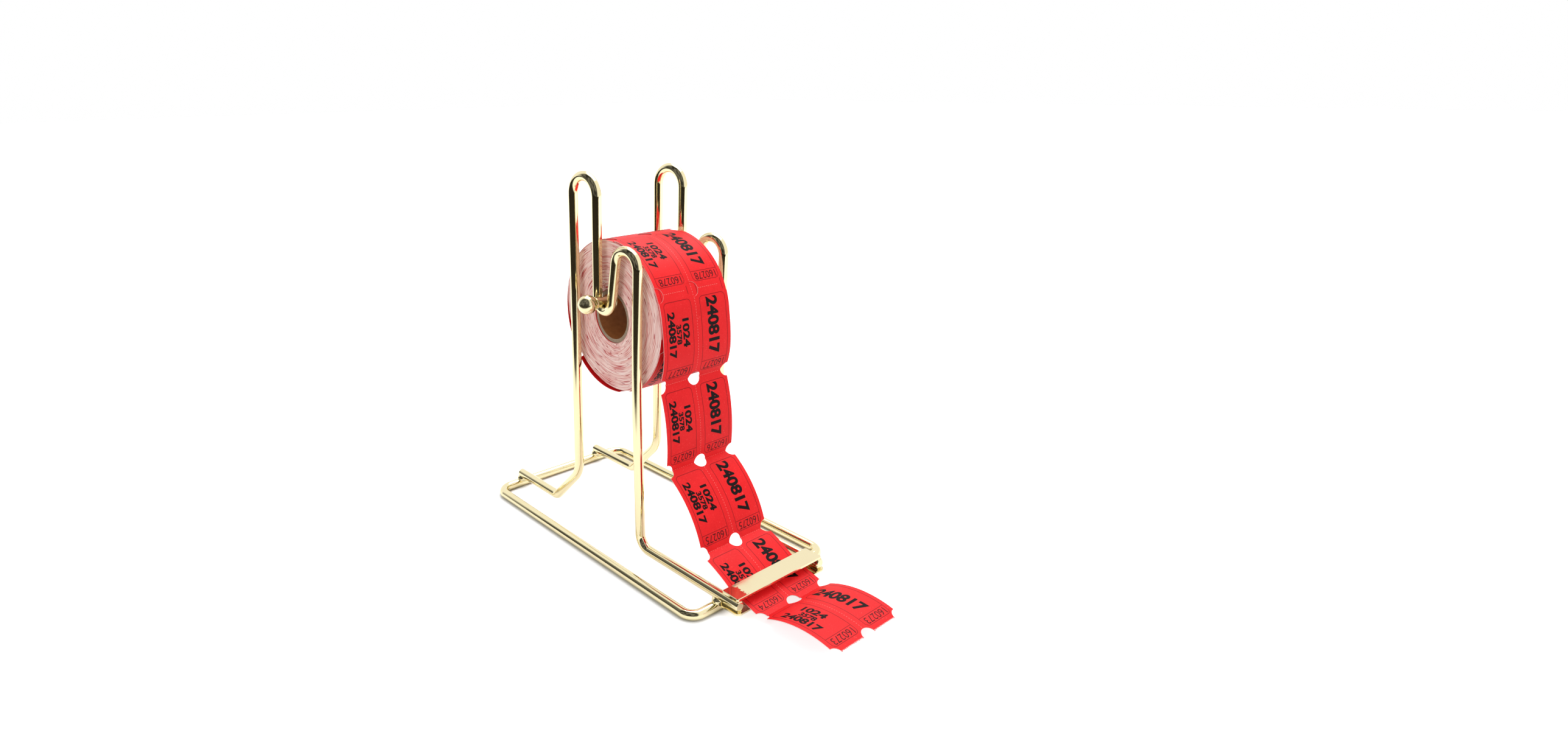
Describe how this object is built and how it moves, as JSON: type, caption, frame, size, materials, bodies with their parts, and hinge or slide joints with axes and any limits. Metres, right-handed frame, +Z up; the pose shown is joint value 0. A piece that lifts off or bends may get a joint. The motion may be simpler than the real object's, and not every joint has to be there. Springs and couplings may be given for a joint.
{
  "type": "counter ticket roll stand",
  "caption": "Bent brass-plated wire stand with open saddles that hold a lift-out ball-ended axle and a roll of tickets, fed down to a slot under a flat tear bar.",
  "frame": {"origin": "middle of the base loop, at the level of the counter it stands on", "axes": "+X along the axle, +Y to the back, away from the tear bar, +Z up"},
  "size_m": [0.11, 0.2758, 0.225],
  "materials": {
    "wire_brass": "polished",
    "plate_brass": "polished",
    "axle_brass": "polished",
    "braze": "polished",
    "ticket_red": "matte",
    "roll_paper": "matte",
    "core_board": "matte"
  },
  "bodies": {
    "stand": {"base_loop": "wire_brass", "side_frame_left": "wire_brass", "side_frame_right": "wire_brass", "braze_beads_rear": "braze", "braze_beads_front": "braze", "braze_seams_bar": "braze", "braze_seams_plate": "braze", "tear_bar": "plate_brass", "guide_plate": "plate_brass", "ticket_1": "ticket_red", "ticket_2": "ticket_red", "ticket_3": "ticket_red", "ticket_4": "ticket_red"},
    "axle": {"axle_rod": "axle_brass", "ball_knob_left": "axle_brass", "ball_knob_right": "axle_brass"},
    "roll": {"core_tube": "core_board", "ticket_roll": "roll_paper"},
    "end_ticket": {"ticket_5": "ticket_red"}
  },
  "joints": [
    {"name": "axle_lift", "type": "slide", "parent": "stand", "child": "axle", "axis": [0, -0.0995, 0.995], "range_m": [0, 0.045]},
    {"name": "roll_spin", "type": "hinge", "parent": "axle", "child": "roll", "pos_m": [-0.0016, -0.002, 0.1425], "axis": [1, 0, 0], "continuous": true},
    {"name": "ticket_lift", "type": "hinge", "parent": "stand", "child": "end_ticket", "pos_m": [-0.0016, -0.1245, 0.00485], "axis": [-1, 0, 0], "range_deg": [0, 75]}
  ]
}
